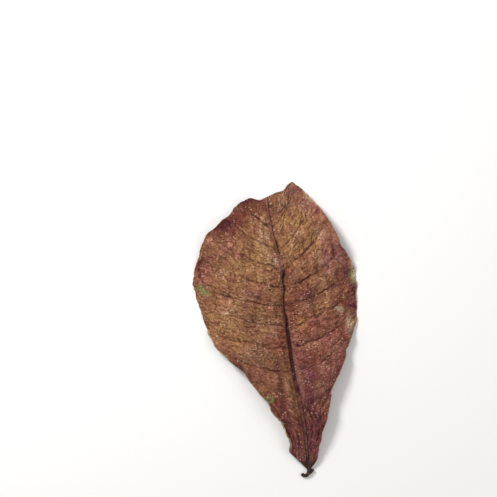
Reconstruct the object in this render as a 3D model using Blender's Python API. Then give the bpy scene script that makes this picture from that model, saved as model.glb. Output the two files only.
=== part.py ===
"""One dried Indian almond leaf (Terminalia catappa), lying on a table with its upper face up.

The leaf grew as one piece: a wavy blade whose side veins are creases above and ribs below, a net of
cross veins that quilts the blade between them, a round midrib under its middle crease, and the
short hooked stalk that the midrib runs into. It is one solid.

Frame: metres, +Z up. +Y runs along the midrib from the stalk to the tip, and +X is to the right
when the leaf is seen from above. The origin is the middle of the leaf's box, on the table.
"""

import math

import bmesh
import bpy
import numpy as np
from mathutils import Vector, noise

MM = 0.001

# Outline and heights, in millimetres, measured from the foot of the blade, where the stalk begins.
# The leaf is 117 mm wide and about 210 mm long with its stalk.
FRAME_CENTRE = (-4.4, 99.2)
BLADE_THICKNESS = 0.75
TABLE_BITE = 0.1

# x, y, height above the table, and how far the last few millimetres curl up (degrees, down if minus).
LEFT_MARGIN = (
    (-1.7, 0.3, 2.9, 0),
    (-7.1, 7.6, 3.2, 5),
    (-11.8, 14.4, 3.6, 40),
    (-11.3, 24.0, 4.4, 80),
    (-13.4, 33.5, 5.4, 90),
    (-17.9, 43.6, 6.8, 75),
    (-27.0, 58.2, 8.4, 35),
    (-34.0, 71.4, 8.6, 5),
    (-41.2, 81.9, 9.2, -10),
    (-50.1, 92.1, 8.0, -25),
    (-56.9, 106.3, 4.0, -15),
    (-60.3, 124.5, -0.6, 20),
    (-62.7, 141.2, -2.2, 35),
    (-60.9, 149.8, -1.6, 35),
    (-57.2, 158.6, 1.0, 35),
    (-49.4, 174.1, 6.4, 30),
    (-38.4, 182.5, 7.4, 25),
    (-28.8, 189.0, 6.0, 10),
    (-21.2, 195.6, 4.2, 30),
    (-13.1, 197.8, 2.8, 40),
    (-6.4, 195.9, 2.2, 20),
    (0.0, 197.7, 2.0, 0),
)
RIGHT_MARGIN = (
    (1.9, 0.2, 2.9, 0),
    (7.0, 6.1, 3.4, 20),
    (9.4, 14.2, 4.6, 45),
    (13.0, 24.2, 6.4, 45),
    (18.8, 37.9, 8.6, 30),
    (22.9, 49.0, 9.6, 15),
    (26.4, 57.6, 9.8, 0),
    (32.7, 66.4, 9.2, -10),
    (38.8, 77.5, 8.4, -25),
    (44.9, 88.6, 6.2, -35),
    (50.2, 101.7, 1.6, -5),
    (52.5, 114.5, -1.8, 30),
    (53.9, 130.0, -2.0, 35),
    (52.4, 142.1, 1.4, 35),
    (47.6, 152.7, 7.0, 25),
    (43.6, 165.3, 9.4, 15),
    (39.1, 176.9, 9.2, 0),
    (32.3, 188.3, 6.4, -10),
    (25.6, 198.0, 3.0, -5),
    (19.6, 204.4, -1.2, 20),
    (15.4, 203.9, -1.6, 30),
    (11.6, 200.2, -0.4, 30),
    (5.6, 199.2, 1.4, 30),
    (0.0, 197.7, 2.0, 0),
)
# x, y and height of the crease above the midrib, from the foot of the blade to the tip.
MIDRIB = (
    (0.0, 0.0, 3.2),
    (0.7, 20.0, 4.6),
    (0.9, 38.5, 6.4),
    (0.0, 57.0, 7.8),
    (-0.7, 76.0, 8.8),
    (-0.5, 95.0, 9.2),
    (0.7, 114.0, 9.0),
    (2.3, 133.0, 8.2),
    (2.6, 151.0, 7.4),
    (1.2, 169.5, 6.2),
    (0.2, 186.0, 4.0),
    (0.0, 197.7, 2.0),
)
# Each side vein leaves the midrib this many millimetres above the foot of the blade, and ends at
# these fractional places in the lists of margin points.
VEIN_ROOTS = (4.5, 13.0, 25.0, 39.0, 54.0, 71.0, 88.0, 104.0, 118.0, 131.0, 143.5, 158.0, 175.0)
LEFT_VEIN_ENDS = (1.6, 3.2, 4.6, 5.9, 7.2, 9.0, 10.2, 11.1, 12.1, 14.1, 15.2, 16.6, 18.2)
RIGHT_VEIN_ENDS = (1.6, 2.9, 4.0, 5.0, 7.0, 8.9, 10.2, 11.4, 12.5, 13.9, 15.8, 17.1, 18.8)

# Form and relief, in millimetres.
VEIN_BOW = 3.0
HALF_BLADE_RISE = 4.6
CREST_PLACE = 0.85
ROLL_LENGTH = 9.0
ROLL_SHARE = 0.4
CREASE_DEPTH = 1.1
CREASE_WIDTH = 4.0
BLISTER_HEIGHT = 1.4
BLISTER_EDGE = 0.7
VEINS_BELOW_MEAN = 0.4
CROSS_VEIN_SPACING = 7.6
CROSS_VEIN_DEPTH = 0.45
PLEAT_HEIGHT = 0.9
PLEAT_COUNT = 2.5
PLEAT_REACH = 70.0
PLEAT_FULL_WIDTH = 25.0
CRUMPLES = ((13.0, 0.9), (6.5, 0.35))
MARGIN_CRINKLE = (9.0, 0.7)

# The relief grows from nothing to its full height over the first of these distances from the
# midrib, and as half the blade widens between the others, in millimetres.
CLEAR_OF_MIDRIB = 8.0
FULL_BLISTER_WIDTH = 40.0
NARROWEST_RELIEF = 1.5
FULL_RELIEF_WIDTH = 14.0

# Ribs under the side veins, and the midrib, in millimetres.
RIB_HALF_WIDTH = 1.0
RIB_DEPTH_AT_MIDRIB = 1.1
RIB_DEPTH_AT_MARGIN = 0.25
RIB_SHARE = 0.98
FULL_RIBS_FROM = 4
MIDRIB_SHARE = 0.985
MIDRIB_RADIUS_AT_FOOT = 1.6
MIDRIB_RADIUS_AT_TIP = 0.5
MIDRIB_OVERLAP = 0.4

# Stalk and the stub at its bend, in millimetres: x, y, height of its middle, radius.
STALK = (
    (0.2, -1.8, 1.8, 1.5),
    (-0.3, -3.4, 1.5, 1.3),
    (-1.9, -4.5, 1.2, 1.15),
    (-3.7, -4.8, 1.1, 1.15),
    (-4.9, -4.2, 1.1, 1.15),
    (-5.3, -2.9, 1.2, 1.15),
)
STUB = (
    (-1.1, -3.9, 1.3, 1.1),
    (1.4, -2.6, 1.3, 1.0),
    (3.4, -1.4, 1.5, 0.8),
)

# Mesh: columns over half the blade, the first one close to the midrib, and rows between the ribs.
FIRST_COLUMN = 0.035
COLUMNS = 16
ROWS_BETWEEN_RIBS = (0.36, 0.64)
SMALL_CELL = 0.3
MIDRIB_STEPS = 44
STALK_STEPS = 14
TUBE_BEVEL = 3
LEFT_SEED = 3.0
RIGHT_SEED = 8.0

DRY_BROWN = (0.208, 0.088, 0.053, 1.0)
LEAF_ROUGHNESS = 0.6


def smooth(points, place):
    """Catmull-Rom curve through a list of points, read at a fractional index."""
    table = np.asarray(points, float)
    last = len(table) - 1
    place = np.clip(np.asarray(place, float), 0.0, last)
    start = np.minimum(place.astype(int), last - 1)
    t = (place - start)[..., None]
    before, here = table[np.maximum(start - 1, 0)], table[start]
    there, after = table[start + 1], table[np.minimum(start + 2, last)]
    bend = 2 * before - 5 * here + 4 * there - after
    twist = 3 * here - before - 3 * there + after
    return 0.5 * (2 * here + (there - before) * t + bend * t**2 + twist * t**3)


def noise_at(x, y, scale, seed):
    """Smooth noise over the blade, between about -1 and 1, with features of the given size."""
    values = [
        2 * noise.noise(Vector((a / scale, b / scale, seed)))
        for a, b in zip(np.ravel(x), np.ravel(y))
    ]
    return np.reshape(values, np.shape(x))


def fade(value, start, end):
    """0 before start, 1 after end, smooth between."""
    t = np.clip((value - start) / (end - start), 0.0, 1.0)
    return t * t * (3 - 2 * t)


def midrib_point(height):
    """Points of MIDRIB at these heights above the foot of the blade."""
    return smooth(MIDRIB, np.interp(height, [p[1] for p in MIDRIB], range(len(MIDRIB))))


def row_ends(order, margin, vein_ends):
    """For rows given in vein order (0 foot, 1 first vein, ...): midrib points and margin points."""
    orders = range(len(VEIN_ROOTS) + 2)
    heights = np.interp(order, orders, (0.0, *VEIN_ROOTS, MIDRIB[-1][1]))
    places = np.interp(order, orders, (0.0, *vein_ends, len(margin) - 1.0))
    return midrib_point(heights), smooth(margin, places)


def half_form(order, share, margin, vein_ends):
    """Plain form of one half of the blade, in millimetres, before its relief is added.

    order counts the side veins up from the foot, and share runs from the midrib to the margin.
    Returns the points, how far out each is from the midrib, and the width of the half there.
    """
    root, end = row_ends(order, margin, vein_ends)
    share = share[None, :]
    reach = end[:, None, :2] - root[:, None, :2]
    width = np.maximum(np.linalg.norm(reach, axis=2), 0.01)
    along = reach / width[..., None]

    curl = np.radians(end[:, None, 3])
    curl = np.where(np.abs(curl) < 0.01, 0.01, curl)
    roll = np.minimum(ROLL_LENGTH, ROLL_SHARE * width)
    overhang = np.where(np.abs(curl) < math.pi / 2, np.sin(curl) / curl, 1 / np.abs(curl))
    flat = width - roll * overhang
    path = share * (flat + roll)
    turned = curl * np.clip((path - flat) / roll, 0.0, 1.0)
    out = np.minimum(path, flat) + roll / curl * np.sin(turned)
    lift = roll / curl * (1 - np.cos(turned))

    t = np.clip(out / width, 0.0, 1.0)
    full = fade(width, 0.0, FULL_BLISTER_WIDTH)
    x = root[:, None, 0] + along[..., 0] * out
    y = root[:, None, 1] + along[..., 1] * out - VEIN_BOW * 4 * t * (1 - t) * full
    z = (1 - t) * root[:, None, 2] + t * end[:, None, 2] + lift
    z = z + HALF_BLADE_RISE * np.sin(math.pi * t**CREST_PLACE) * full
    return np.stack((x, y, z), axis=2), path, width


def half_relief(order, points, path, width, seed):
    """Height of the relief on one half of the blade: blisters, pleats, crumples and the crease."""
    order = order[:, None]
    x, y = points[..., 0], points[..., 1]
    t = path / width
    off_midrib = fade(path, 0.0, CLEAR_OF_MIDRIB)

    draw = noise_at(np.floor(order) * 5.3 + 0 * t, seed + 0 * t, 1.7, seed)
    blister = np.abs(np.sin(math.pi * order)) ** BLISTER_EDGE
    cross = np.cos(2 * math.pi * (path / CROSS_VEIN_SPACING + draw))
    relief = BLISTER_HEIGHT * ((1 + draw) * blister - VEINS_BELOW_MEAN)
    relief = relief + CROSS_VEIN_DEPTH * cross * blister
    relief = relief * fade(width, 0.0, FULL_BLISTER_WIDTH) * (1 - 0.6 * fade(t, 0.7, 1.0))

    near_foot = np.exp(-((y / PLEAT_REACH) ** 2)) * fade(width, 0.0, PLEAT_FULL_WIDTH)
    pleats = np.sin(2 * math.pi * PLEAT_COUNT * t) * (1 - t)
    relief = relief + PLEAT_HEIGHT * pleats * near_foot
    for scale, height in CRUMPLES:
        relief = relief + height * noise_at(x, y, scale, seed + scale)
    relief = relief * off_midrib

    scale, height = MARGIN_CRINKLE
    relief = relief + height * noise_at(x, y, scale, seed - scale) * fade(t, 0.8, 1.0)
    relief = relief - CREASE_DEPTH * np.exp(-((path / CREASE_WIDTH) ** 2))
    return relief * fade(width, NARROWEST_RELIEF, FULL_RELIEF_WIDTH)


def rest_on_table(z):
    """Heights of the upper surface, raised where the lower one would dip far under the table."""
    return np.maximum(z, BLADE_THICKNESS - TABLE_BITE)


def row_orders():
    """Grid rows in vein order: each vein with a row close on either side, and rows between."""
    heights = (0.0, *VEIN_ROOTS, MIDRIB[-1][1])
    orders = []
    for vein, (low, high) in enumerate(zip(heights, heights[1:])):
        edge = RIB_HALF_WIDTH / (high - low)
        orders += [vein + step for step in (0.0, edge, *ROWS_BETWEEN_RIBS, 1 - edge)]
    return np.array([*orders, len(heights) - 1.0])


def rib_depth(order, share):
    """How much thicker the blade is at each point for the ribs under the side veins."""
    order, share = order[:, None], share[None, :]
    vein = np.round(order)
    on_rib = (np.abs(order - vein) < 1e-6) & (vein <= len(VEIN_ROOTS)) & (share < RIB_SHARE)
    depth = RIB_DEPTH_AT_MIDRIB + (RIB_DEPTH_AT_MARGIN - RIB_DEPTH_AT_MIDRIB) * share
    return np.where(on_rib, depth * np.clip(vein / FULL_RIBS_FROM, 0.0, 1.0), 0.0)


def both_sides(left, right):
    """Rows that run from the left margin over the midrib to the right margin."""
    return np.concatenate((left[:, :0:-1], right), axis=1)


def form_normals(form):
    """Upward unit normals of the plain form, nearly upright where its cells are very small."""
    up_the_leaf, across = np.gradient(form, axis=(0, 1))
    normal = np.cross(across, up_the_leaf) + (0.0, 0.0, SMALL_CELL)
    return normal / np.linalg.norm(normal, axis=2, keepdims=True)


def blade_surfaces(orders, share):
    """Upper surface of the blade and the step from it to the lower one, in millimetres.

    The steps follow the plain form, because steps square to the crumpled surface would cross.
    """
    forms = []
    reliefs = []
    for margin, vein_ends, seed in (
        (LEFT_MARGIN, LEFT_VEIN_ENDS, LEFT_SEED),
        (RIGHT_MARGIN, RIGHT_VEIN_ENDS, RIGHT_SEED),
    ):
        points, path, width = half_form(orders, share, margin, vein_ends)
        forms.append(points)
        reliefs.append(half_relief(orders, points, path, width, seed))
    form = both_sides(*forms)
    normal = form_normals(form)
    upper = form + normal * both_sides(*reliefs)[..., None]
    upper[..., 2] = rest_on_table(upper[..., 2])
    ribs = rib_depth(orders, share)
    return upper, -normal * (BLADE_THICKNESS + both_sides(ribs, ribs))[..., None]


def to_frame(x, y, z):
    """A point in millimetres from the foot of the blade, in metres in the leaf's own frame."""
    return Vector((x - FRAME_CENTRE[0], y - FRAME_CENTRE[1], z)) * MM


def new_object(name, mesh, collection):
    made = bpy.data.objects.new(name, mesh)
    collection.objects.link(made)
    return made


def dry_leaf_material():
    material = bpy.data.materials.new("dry_leaf")
    material.use_nodes = True
    shader = material.node_tree.nodes["Principled BSDF"]
    shader.inputs["Base Color"].default_value = DRY_BROWN
    shader.inputs["Roughness"].default_value = LEAF_ROUGHNESS
    shader.inputs["Metallic"].default_value = 0.0
    return material


def make_blade(collection):
    """The blade: a grid laid along the veins, and the same grid again a blade's thickness below."""
    share = np.array((0.0, *np.linspace(FIRST_COLUMN, 1.0, COLUMNS)))
    upper, step_down = blade_surfaces(row_orders(), share)
    rows, columns = upper.shape[0] - 1, upper.shape[1] - 1
    grid = bmesh.new()
    bmesh.ops.create_grid(grid, x_segments=columns, y_segments=rows, size=1.0)
    down = grid.verts.layers.float_vector.new("step_down")
    for vertex in grid.verts:
        column = round((vertex.co.x + 1) / 2 * columns)
        row = round((vertex.co.y + 1) / 2 * rows)
        vertex.co = to_frame(*upper[row, column])
        vertex[down] = Vector(step_down[row, column]) * MM
    bmesh.ops.remove_doubles(grid, verts=grid.verts, dist=0.02 * MM)
    bmesh.ops.triangulate(grid, faces=grid.faces)
    doubled = bmesh.ops.extrude_face_region(grid, geom=grid.faces, use_keep_orig=True)
    for vertex in doubled["geom"]:
        if isinstance(vertex, bmesh.types.BMVert):
            vertex.co += vertex[down]
    bmesh.ops.recalc_face_normals(grid, faces=grid.faces)
    mesh = bpy.data.meshes.new("blade")
    grid.to_mesh(mesh)
    grid.free()
    return new_object("blade", mesh, collection)


def crease_line(heights):
    """Points of the midrib's crease on the upper surface, at these heights above the foot."""
    points = midrib_point(heights)
    points[:, 2] = rest_on_table(points[:, 2] - CREASE_DEPTH)
    return points


def make_tube(name, points, collection):
    """A round tube through points in millimetres, each with its own radius, closed at both ends."""
    curve = bpy.data.curves.new(name, "CURVE")
    curve.dimensions = "3D"
    curve.bevel_depth = MM
    curve.bevel_resolution = TUBE_BEVEL
    curve.use_fill_caps = True
    spline = curve.splines.new("POLY")
    spline.points.add(len(points) - 1)
    for place, (x, y, z, radius) in zip(spline.points, points):
        place.co = (*to_frame(x, y, z), 1.0)
        place.radius = radius
    return new_object(name, curve, collection)


def make_midrib_and_stalk(collection):
    """The tapering round midrib under the crease, and the stalk that it runs into."""
    length = MIDRIB[-1][1]
    heights = np.linspace(MIDRIB_SHARE * length, 0.0, MIDRIB_STEPS)
    radii = np.interp(heights, (0.0, length), (MIDRIB_RADIUS_AT_FOOT, MIDRIB_RADIUS_AT_TIP))
    points = [
        (x, y, z - BLADE_THICKNESS - radius + MIDRIB_OVERLAP, radius)
        for (x, y, z), radius in zip(crease_line(heights), radii)
    ]
    points += list(smooth(STALK, np.linspace(0, len(STALK) - 1, STALK_STEPS)))
    return make_tube("midrib_and_stalk", points, collection)


def as_mesh(source, collection):
    """The object as it is evaluated, as a new plain mesh object. The source is removed."""
    bpy.context.view_layer.update()
    graph = bpy.context.evaluated_depsgraph_get()
    mesh = bpy.data.meshes.new_from_object(source.evaluated_get(graph))
    made = new_object(source.name + "_solid", mesh, collection)
    made.matrix_world = source.matrix_world
    shape = bmesh.new()
    shape.from_mesh(mesh)
    bmesh.ops.remove_doubles(shape, verts=shape.verts, dist=0.001 * MM)
    bmesh.ops.recalc_face_normals(shape, faces=shape.faces)
    shape.to_mesh(mesh)
    shape.free()
    bpy.data.objects.remove(source)
    return made


def fuse(pieces, name, collection):
    """One mesh object that is the union of the pieces, which are removed."""
    joined = bpy.data.collections.new("pieces_to_fuse")
    bpy.context.scene.collection.children.link(joined)
    first, *others = pieces
    for piece in others:
        collection.objects.unlink(piece)
        joined.objects.link(piece)
    union = first.modifiers.new("union", "BOOLEAN")
    union.operation = "UNION"
    union.operand_type = "COLLECTION"
    union.collection = joined
    union.solver = "EXACT"
    fused = as_mesh(first, collection)
    fused.name = name
    fused.data.name = name
    for piece in others:
        bpy.data.objects.remove(piece)
    bpy.data.collections.remove(joined)
    return fused


def flatten_on_table(leaf):
    """What dips under the table is pressed flat on it: the small flat spots that the leaf rests on."""
    for vertex in leaf.data.vertices:
        vertex.co.z = max(vertex.co.z, 0.0)
    leaf.data.update()


def main():
    for old in list(bpy.data.objects):
        bpy.data.objects.remove(old)
    collection = bpy.data.collections.new("indian_almond_leaf")
    bpy.context.scene.collection.children.link(collection)

    blade = as_mesh(make_blade(collection), collection)
    midrib = as_mesh(make_midrib_and_stalk(collection), collection)
    stub = as_mesh(make_tube("stub", STUB, collection), collection)
    leaf = fuse([blade, midrib, stub], "leaf", collection)
    flatten_on_table(leaf)
    leaf.data.materials.clear()
    leaf.data.materials.append(dry_leaf_material())
    leaf.data.shade_smooth()


main()
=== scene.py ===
"""Looks of one dried Indian almond leaf (Terminalia catappa), lying on a pale table, seen from above.

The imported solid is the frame. A finer blade of the same form replaces it: the same outline, veins
and curled margins in a thinner sheet, with puffed cells between the veins, crumples, a dark groove
over the midrib, and a raised net of ribs below. The hooked stalk is a second piece.

Lengths are in millimetres, measured from the foot of the blade, until to_frame() turns them into
metres in the leaf's own frame.
"""

import math
from types import SimpleNamespace

import bmesh
import bpy
import numpy as np
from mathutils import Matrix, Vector, noise


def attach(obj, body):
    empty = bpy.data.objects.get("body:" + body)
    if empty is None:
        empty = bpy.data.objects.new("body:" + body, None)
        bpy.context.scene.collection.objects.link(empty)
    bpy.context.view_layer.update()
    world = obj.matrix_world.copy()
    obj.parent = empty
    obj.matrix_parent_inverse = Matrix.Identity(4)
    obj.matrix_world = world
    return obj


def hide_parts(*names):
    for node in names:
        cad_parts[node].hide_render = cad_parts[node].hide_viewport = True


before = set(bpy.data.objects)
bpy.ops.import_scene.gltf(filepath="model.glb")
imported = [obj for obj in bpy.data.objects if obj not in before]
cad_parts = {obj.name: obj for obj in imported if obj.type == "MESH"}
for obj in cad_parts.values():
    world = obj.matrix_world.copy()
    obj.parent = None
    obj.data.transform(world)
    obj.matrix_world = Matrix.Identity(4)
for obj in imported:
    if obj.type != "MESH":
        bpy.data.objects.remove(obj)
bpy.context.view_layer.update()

MM = 0.001
TURN = 2 * math.pi

# Form of the blade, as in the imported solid. Margins: x, y, height above the table, and how far the
# last few millimetres curl up (degrees, down if minus). Midrib: x, y, height of the crease.
FRAME_CENTRE = (-4.4, 99.2)
SOLID_THICKNESS = 0.75
TABLE_BITE = 0.1
LEFT_MARGIN = (
    (-1.7, 0.3, 2.9, 0), (-7.1, 7.6, 3.2, 5), (-11.8, 14.4, 3.6, 40), (-11.3, 24, 4.4, 80),
    (-13.4, 33.5, 5.4, 90), (-17.9, 43.6, 6.8, 75), (-27, 58.2, 8.4, 35), (-34, 71.4, 8.6, 5),
    (-41.2, 81.9, 9.2, -10), (-50.1, 92.1, 8, -25), (-56.9, 106.3, 4, -15),
    (-60.3, 124.5, -0.6, 20), (-62.7, 141.2, -2.2, 35), (-60.9, 149.8, -1.6, 35),
    (-57.2, 158.6, 1, 35), (-49.4, 174.1, 6.4, 30), (-38.4, 182.5, 7.4, 25),
    (-28.8, 189, 6, 10), (-21.2, 195.6, 4.2, 30), (-13.1, 197.8, 2.8, 40),
    (-6.4, 195.9, 2.2, 20), (0, 197.7, 2, 0),
)
RIGHT_MARGIN = (
    (1.9, 0.2, 2.9, 0), (7, 6.1, 3.4, 20), (9.4, 14.2, 4.6, 45), (13, 24.2, 6.4, 45),
    (18.8, 37.9, 8.6, 30), (22.9, 49, 9.6, 15), (26.4, 57.6, 9.8, 0), (32.7, 66.4, 9.2, -10),
    (38.8, 77.5, 8.4, -25), (44.9, 88.6, 6.2, -35), (50.2, 101.7, 1.6, -5), (52.5, 114.5, -1.8, 30),
    (53.9, 130, -2, 35), (52.4, 142.1, 1.4, 35), (47.6, 152.7, 7, 25), (43.6, 165.3, 9.4, 15),
    (39.1, 176.9, 9.2, 0), (32.3, 188.3, 6.4, -10), (25.6, 198, 3, -5), (19.6, 204.4, -1.2, 20),
    (15.4, 203.9, -1.6, 30), (11.6, 200.2, -0.4, 30), (5.6, 199.2, 1.4, 30), (0, 197.7, 2, 0),
)
MIDRIB = (
    (0, 0, 3.2), (0.7, 20, 4.6), (0.9, 38.5, 6.4), (0, 57, 7.8), (-0.7, 76, 8.8),
    (-0.5, 95, 9.2), (0.7, 114, 9), (2.3, 133, 8.2), (2.6, 151, 7.4), (1.2, 169.5, 6.2),
    (0.2, 186, 4), (0, 197.7, 2),
)
# Each side vein leaves the midrib this many millimetres above the foot of the blade, and ends at
# these fractional places in the lists of margin points.
VEIN_ROOTS = (4.5, 13, 25, 39, 54, 71, 88, 104, 118, 131, 143.5, 158, 175)
LEFT_VEIN_ENDS = (1.6, 3.2, 4.6, 5.9, 7.2, 9, 10.2, 11.1, 12.1, 14.1, 15.2, 16.6, 18.2)
RIGHT_VEIN_ENDS = (1.6, 2.9, 4, 5, 7, 8.9, 10.2, 11.4, 12.5, 13.9, 15.8, 17.1, 18.8)
LEFT = SimpleNamespace(side=-1, margin=LEFT_MARGIN, vein_ends=LEFT_VEIN_ENDS, seed=3)
RIGHT = SimpleNamespace(side=1, margin=RIGHT_MARGIN, vein_ends=RIGHT_VEIN_ENDS, seed=8)

VEIN_BOW = 3
HALF_BLADE_RISE = 4.6
CREST_PLACE = 0.85
ROLL_LENGTH = 9
ROLL_SHARE = 0.4
CREASE_DEPTH = 1.1
CREASE_WIDTH = 4
UPPER_CREASE = 0.6
LOWER_LEAF = 62  # Up to here the midrib and its strips look as on the lower part of the leaf.
UPPER_LEAF = 141  # From here they look as on the upper part.
BLISTER_HEIGHT = 1.4
BLISTER_EDGE = 0.7
VEINS_BELOW_MEAN = 0.4
CROSS_VEIN_SPACING = 7.6
CROSS_VEIN_DEPTH = 0.45
PLEAT_HEIGHT = 0.9
PLEAT_COUNT = 2.5
PLEAT_REACH = 70
PLEAT_FULL_WIDTH = 25
CRUMPLES = ((13, 0.9), (6.5, 0.35))
MARGIN_CRINKLE = (9, 0.7)
CLEAR_OF_MIDRIB = 8
FULL_BLISTER_WIDTH = 40
NARROWEST_RELIEF = 1.5
FULL_RELIEF_WIDTH = 14
SMALL_CELL = 0.3

# The fine sheet: rows along the leaf, columns from midrib to margin, both closer together where
# the detail is finest. The lower face has every second row and column of the upper one.
THICKNESS = 0.45
ROWS_PER_MM = 1.68
LEAST_SPAN = 14
LAST_ROW = 0.96
FINE_COLUMNS = 102
CLOSER_AT_VEINS = 0.4
CLOSER_AT_ENDS = 0.4
RIM_ROUNDING = 0.12
MAP_RIM = 0.6
MAP_MARGIN = 0.006

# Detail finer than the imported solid's, in millimetres. A wrinkle is given as its length along the
# veins, its width across them, and its height.
VEIN_WANDER = ((11, 0.06), (3.5, 0.025))
VEIN_LINE_WIDTH = 0.6
VEIN_LINE_DEPTH = 0.4
VEIN_SHOULDER = (1.5, 0.8, 0.15)
FOLDS = (8.5, 4.6, 0.52)
WRINKLES = (3.8, 1.9, 0.46)
PUCKER = ((5, 0.3), (2.2, 0.12))
NICKS = ((7, 0.5), (2.2, 0.2))
# The dark groove over the midrib: height above the foot, how far it lies to the right, half its
# width, its depth, and how dark it is from 0 to 1.
GROOVE = (
    (0, 0.2, 0.7, 0.25, 0.6), (14, 0.8, 0.5, 0.3, 0.7), (35, 1.2, 0.45, 0.35, 0.75),
    (50, 0.5, 0.5, 0.4, 0.7), (61, 0.1, 0.5, 0.45, 0.75), (75, 0, 0.75, 0.5, 0.9),
    (97, 0, 0.95, 0.8, 1), (106, -0.4, 0.75, 0.75, 1), (120, -1.2, 0.6, 0.65, 1),
    (131, -0.6, 0.55, 0.6, 1), (140, 0, 0.55, 0.6, 1), (145, 0.3, 0.45, 0.35, 0.6),
    (152, 0.4, 0.4, 0.3, 0.6), (163, -0.5, 0.42, 0.35, 0.8), (175, -1, 0.45, 0.4, 0.9),
    (198, -0.5, 0.5, 0.4, 0.95),
)
# Long soft creases: points of the line, half its width, its depth and how dark it is painted, as
# painted shade in the crease.
MARGIN_CREASE = (((45.5, 139.5), (42, 144), (40.2, 151), (39.8, 165)), 0.6, 0.4, 0.9)
FOOT_CREASE = (((-11.7, 42), (-11.2, 63), (-11, 84)), 2.7, 0.7, 1)
RIDGE_HEIGHT = 0.35
RIDGE_WIDTH = 0.8
STRAND_SPACING = 1.5
STRAND_HEIGHT = 0.28
STRAND_REACH = 42
FAN_LINES = 5
FAN_HEIGHT = 0.35
FAN_UNIT = 25

# Ribs below, in millimetres.
MIDRIB_RADIUS_AT_FOOT = 1.6
MIDRIB_RADIUS_AT_TIP = 0.5
MIDRIB_SPREAD = 1.3
RIB_HEIGHT = (1, 0.2)
RIB_WIDTH = (0.75, 0.4)
NET_HEIGHT = 0.16

# Stalk and the stub at its bend, in millimetres: x, y, height of its middle, radius.
STALK = (
    (0.1, 9, 2.1, 1.1), (0.1, 5, 1.85, 1.3), (0.1, 1.5, 1.75, 1.5), (0.15, -1.2, 1.75, 1.6),
    (-0.4, -3.2, 1.5, 1.4), (-1.9, -4.5, 1.25, 1.2), (-3.6, -4.8, 1.15, 1.2),
    (-4.8, -4.2, 1.15, 1.2), (-5.2, -3.1, 1.2, 1.25),
)
STUB = (
    (-1.1, -3.9, 1.3, 1.1), (1.4, -2.6, 1.35, 1), (3.4, -1.4, 1.5, 0.85),
)
STALK_RINGS = 70
STUB_RINGS = 30
STALK_SIDES = 40
STALK_GROOVES = 7
STALK_GROOVE_DEPTH = 0.07
STALK_VOXEL = 0.12
STALK_WRINKLES = ((1.6, 0.16), (0.6, 0.07))

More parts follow.
